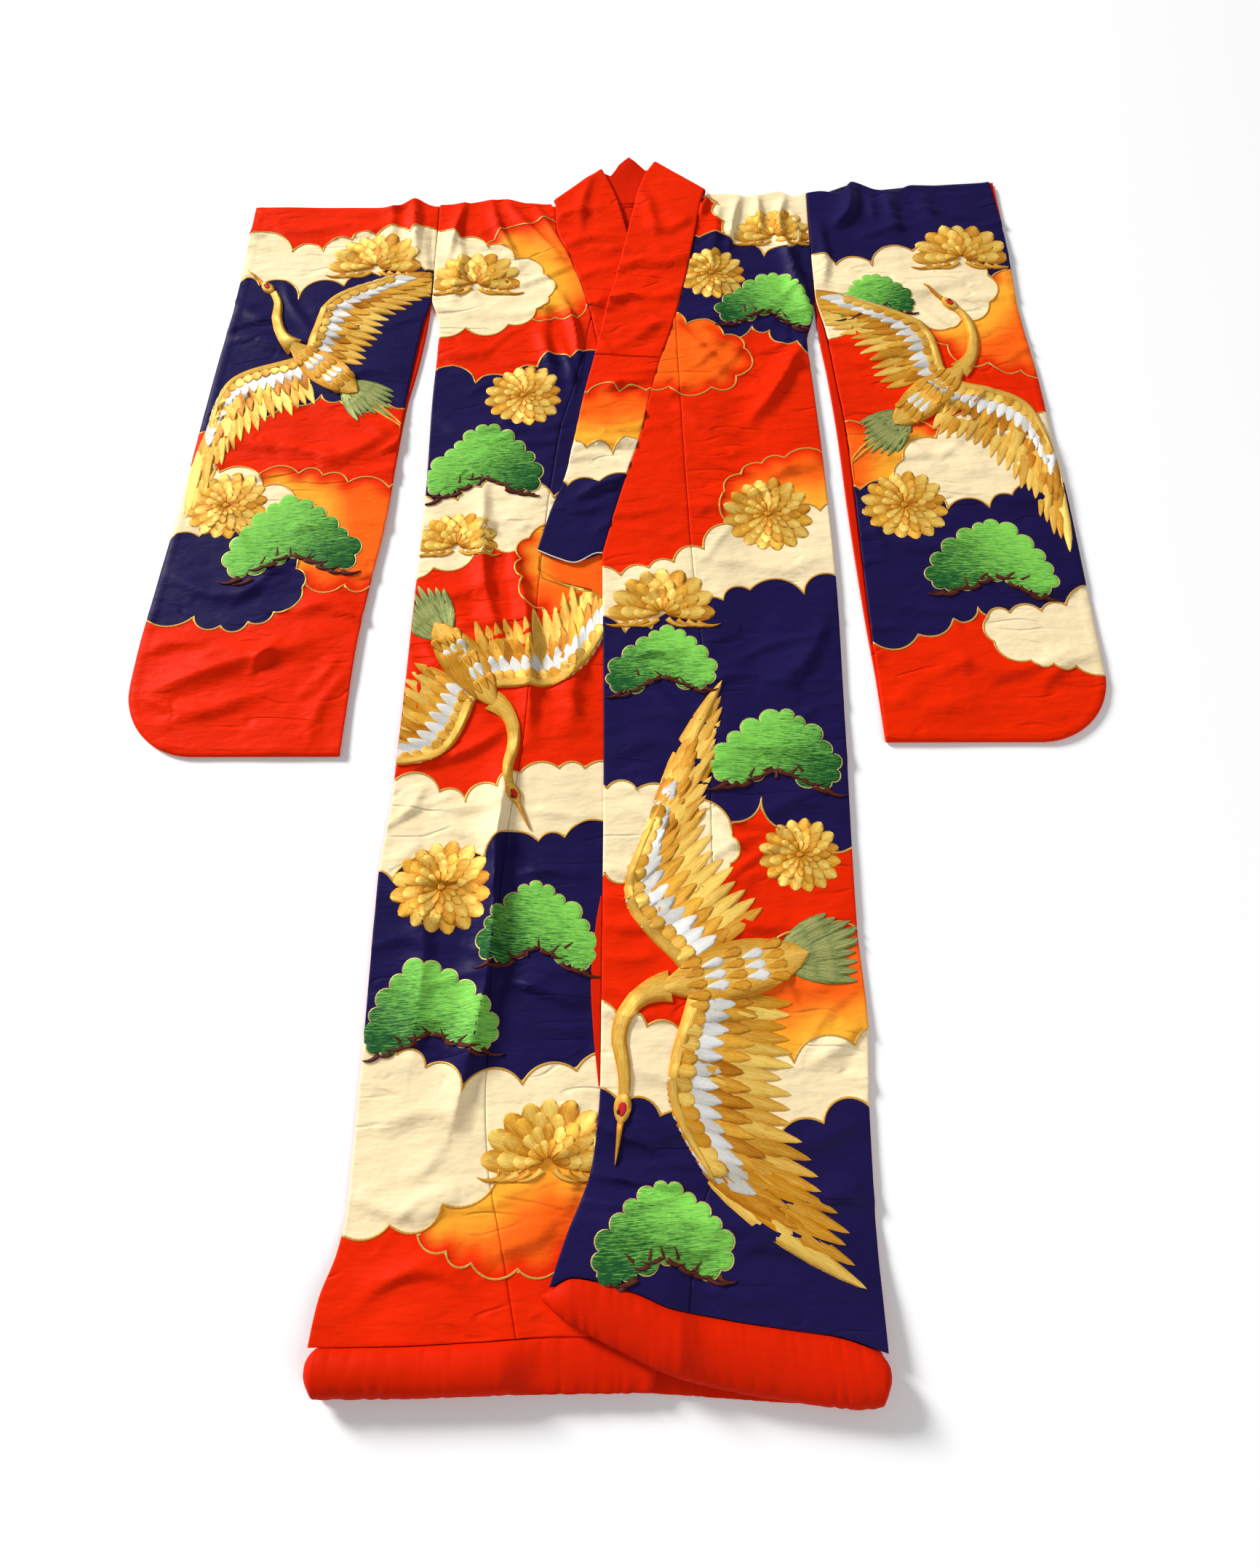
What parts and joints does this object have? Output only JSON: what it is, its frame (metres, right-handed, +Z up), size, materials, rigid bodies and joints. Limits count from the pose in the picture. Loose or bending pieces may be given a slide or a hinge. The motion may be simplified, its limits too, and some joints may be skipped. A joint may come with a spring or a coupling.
{
  "type": "uchikake wedding kimono, laid flat",
  "caption": "Padded wedding over-kimono laid out flat with its front up: long square sleeves, wide collar, overlapping fronts and thick padded hem rolls.",
  "frame": {"origin": "on the surface that the garment lies on, under the middle of its outline", "axes": "+X to the wearer's left, +Y from the hem to the neck, +Z up out of the front"},
  "size_m": [1.411, 1.9534, 0.0386],
  "materials": {
    "figured_satin": "scarlet silk satin with dyed navy and cream cloud shapes and gold, silver and green embroidery",
    "lining_satin": "plain vermilion silk satin"
  },
  "bodies": {
    "root": {"right_body": "figured_satin", "left_body": "figured_satin", "right_overlap": "figured_satin", "left_overlap": "figured_satin", "over_collar": "figured_satin", "left_collar": "figured_satin", "right_collar": "figured_satin", "right_sleeve": "figured_satin", "left_sleeve": "figured_satin", "neck_lining": "lining_satin", "right_sleeve_lining": "lining_satin", "left_sleeve_lining": "lining_satin", "left_cuff_lining": "lining_satin", "front_edge_lining": "lining_satin", "back_hem": "lining_satin", "right_front_hem": "lining_satin", "left_front_hem": "lining_satin"}
  },
  "joints": []
}
